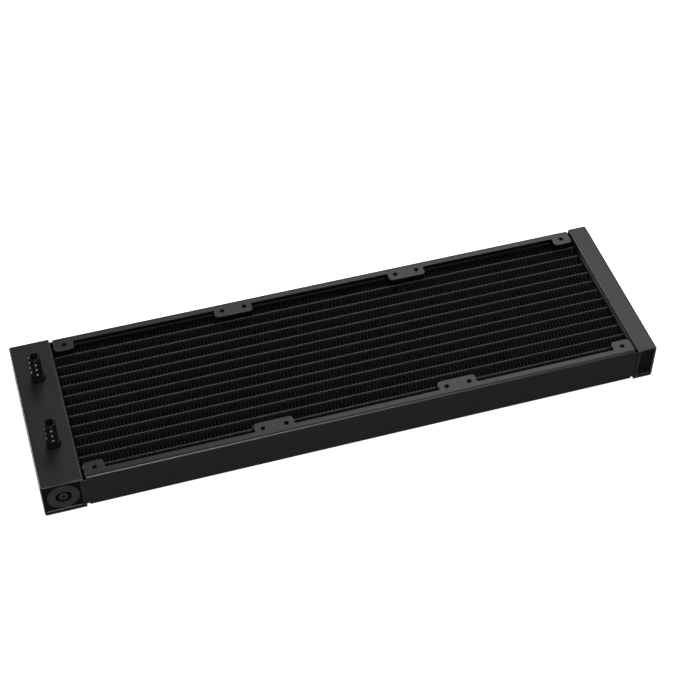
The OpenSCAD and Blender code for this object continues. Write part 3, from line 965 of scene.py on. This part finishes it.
def plug_body():
    """Profile of the plug from its recess round the head, the threaded shank and the nose to the vent."""
    recess_r, head_r, root_r, nose_r, nose_bead_r, nose_bore_r = 5.05, 10, PLUG_ROOT_R / MM, 5.2, 5.5, 4.2
    head, recess_floor, bore_floor, shank, nose_bead, nose = -1.3, 2.2, 5, 6, 11, 12
    corners = [(recess_r, recess_floor, 0.4), (recess_r, head, 0.3), (head_r, head, 0.4), (head_r, 0, 0.2)]
    corners += [(root_r, 0, 0.25), (root_r, shank, 0.5), (nose_r, shank, 0.3), (nose_r, nose_bead, 0.1)]
    corners += [(nose_bead_r, nose_bead, 0.1), (nose_bead_r, nose, 0.4)]
    corners += [(nose_bore_r, nose, 0.2), (nose_bore_r, bore_floor, 0.3)]
    corners += [(VENT_R / MM, bore_floor, 0.1), (VENT_R / MM, recess_floor, 0)]
    return outline_mm(corners)


def make_plug():
    """The plug with its thread, and the hexagon round the vent in its recess."""
    thread_start, thread_end = 0.9 * MM, 5.5 * MM
    body = lathe(plug_body(), PLUG_STEPS)
    ridge = thread(PLUG_ROOT_R, PLUG_CREST_R, PLUG_PITCH, thread_start, thread_end, THREAD_STEPS)
    corner_r = HEX_FLAT / math.cos(math.pi / 6)
    hexagon = rounded(arc(0, 0, corner_r, 0, 300, 5), [HEX_CORNER_R] * 6, 5)
    boss = plate([(hexagon, HEX_EDGE_R), (round_hole(0, 0, VENT_R), VENT_EDGE_R)], HEX_H)
    boss = mapped(boss, lambda u, v, n: (u, v, n + HEX_FACE))
    part = mapped(join(body, ridge, boss), on_plug_axis)
    add_piece("relief_plug_moulded", part, SLOTS["relief_plug"], "plug", ["relief_plug"])


def bladder_body():
    """Profile of a thimble with two soft convolutions: up its outside, and down its inside."""
    neck_r, waist_r, fold_r, outer_r, inner_r, throat_r = 5.23, 6.0, 6.2, 6.8, 5.9, 5.55
    mouth, shoulder, end, wall = 6.3, 12.3, 26.3, 0.8
    corners = [(neck_r, mouth, 0.1), (waist_r, mouth, 0.3), (waist_r, shoulder - 1.2, 0.3)]
    corners += [(outer_r, shoulder, 0.4), (outer_r, 16, 0.5), (fold_r, 17.3, 0.7), (outer_r, 18.6, 0.5)]
    corners += [(outer_r, 20.5, 0.5), (fold_r, 21.8, 0.7), (outer_r, 23.1, 0.5)]
    corners += [(outer_r, end, 2.4), (0, end, 0), (0, end - wall, 0)]
    corners += [(inner_r, end - wall, 1.8), (inner_r, 13, 0.3)]
    corners += [(throat_r, 12, 0.1), (throat_r, 11, 0.1), (neck_r, 10.8, 0.1)]
    return outline_mm(corners)


def make_bladder():
    """A rubber thimble, open at the neck that grips the plug's nose."""
    part = mapped(lathe(bladder_body()), on_plug_axis)
    add_piece("relief_bladder_moulded", part, SLOTS["relief_bladder"], "plug", ["relief_bladder"])


def make_seat_thread():
    """The thread inside the cap's boss, which meshes with the plug's."""
    start, end = 2.1 * MM, 7.6 * MM
    ridge = thread(SEAT_WALL_R, SEAT_CREST_R, PLUG_PITCH, start, end, THREAD_STEPS)
    add_piece("relief_seat_thread", mapped(ridge, on_plug_axis), "frame_paint")


# ---- Studio ----

FLOOR_Z = -0.1 * MM
FLOOR_REACH = 12.0


def floor_material():
    """A lit white table: pale and plain, so that only a faint shadow shows."""
    s = Shader("white_table")
    colour = s.mix(s.ramp(s.noise(0.4, 2), 0.3, 0.7), (0.9, 0.9, 0.9), (0.93, 0.93, 0.93))
    emission = {"Emission_Color": (1, 1, 1, 1), "Emission_Strength": 0.6}
    return s.finish(colour, Roughness=0.9, Specular_IOR_Level=0.0, **emission)


def sun(name, azimuth, elevation, strength, spread):
    """A soft light from far away: the compass angle is counted from +Y towards +X, in degrees."""
    a, e = math.radians(azimuth), math.radians(elevation)
    towards = Vector((math.sin(a) * math.cos(e), math.cos(a) * math.cos(e), math.sin(e)))
    data = bpy.data.lights.new(name, "SUN")
    data.energy = strength
    data.angle = math.radians(spread)
    obj = bpy.data.objects.new(name, data)
    obj.rotation_mode = "QUATERNION"
    obj.rotation_quaternion = towards.to_track_quat("Z", "Y")
    bpy.context.scene.collection.objects.link(obj)


def make_floor():
    """A floor just under the object, which glossy surfaces don't mirror."""
    mesh = bpy.data.meshes.new("floor")
    corners = rectangle(-FLOOR_REACH, -FLOOR_REACH, FLOOR_REACH, FLOOR_REACH)
    mesh.from_pydata([(x, y, FLOOR_Z) for x, y in corners], [], [(0, 1, 2, 3)])
    mesh.materials.append(floor_material())
    floor = bpy.data.objects.new("floor", mesh)
    bpy.context.scene.collection.objects.link(floor)
    floor.visible_glossy = False


def make_studio():
    """A pale room, and four soft lights that give the satin coat its gradients."""
    world = bpy.data.worlds.new("pale_room")
    world.use_nodes = True
    background = world.node_tree.nodes["Background"]
    background.inputs["Color"].default_value = (1, 1, 1, 1)
    background.inputs["Strength"].default_value = 0.8
    bpy.context.scene.world = world
    world.cycles_visibility.glossy = False
    sun("rear_softbox", 20, 44, 0.35, 24)
    sun("rear_right_softbox", 37, 55, 0.95, 28)
    sun("front_softbox", 175, 42, 1.05, 9)
    sun("left_strip", -50, 8, 1.1, 12)
    settings = bpy.context.scene.view_settings
    settings.view_transform = "Standard"
    settings.look = "None"


def make_camera():
    """The camera stands to the front left and looks down at the object."""
    azimuth, elevation, roll = math.radians(17.335), math.radians(47.31), math.radians(0.45)
    distance = 1.0329
    aim_right, aim_back = 9.6 * MM, -5.3 * MM
    low, high = cad_box
    aim = Vector(((low.x + high.x) / 2 + aim_right, (low.y + high.y) / 2 + aim_back, HEIGHT))
    level = math.cos(elevation)
    forward = Vector((math.sin(azimuth) * level, math.cos(azimuth) * level, -math.sin(elevation)))
    across = forward.cross(Vector((0, 0, 1))).normalized()
    above = across.cross(forward)
    right = across * math.cos(roll) + above * math.sin(roll)
    up = above * math.cos(roll) - across * math.sin(roll)
    data = bpy.data.cameras.new("camera")
    data.lens = 82.5
    data.sensor_width = 36
    data.clip_start = 0.05
    data.clip_end = 50
    camera = bpy.data.objects.new("camera", data)
    bpy.context.scene.collection.objects.link(camera)
    axes = Matrix((right, up, -forward)).transposed()
    camera.matrix_world = Matrix.Translation(aim - forward * distance) @ axes.to_4x4()
    bpy.context.scene.camera = camera


dress_cad_nodes()
make_tanks()
header("port_header", -1)
header("return_header", 1)
rail("rail_front", -1)
rail("rail_rear", 1)
make_tubes()
make_fins()
make_barbs()
make_plug()
make_bladder()
make_seat_thread()
make_floor()
make_studio()
make_camera()
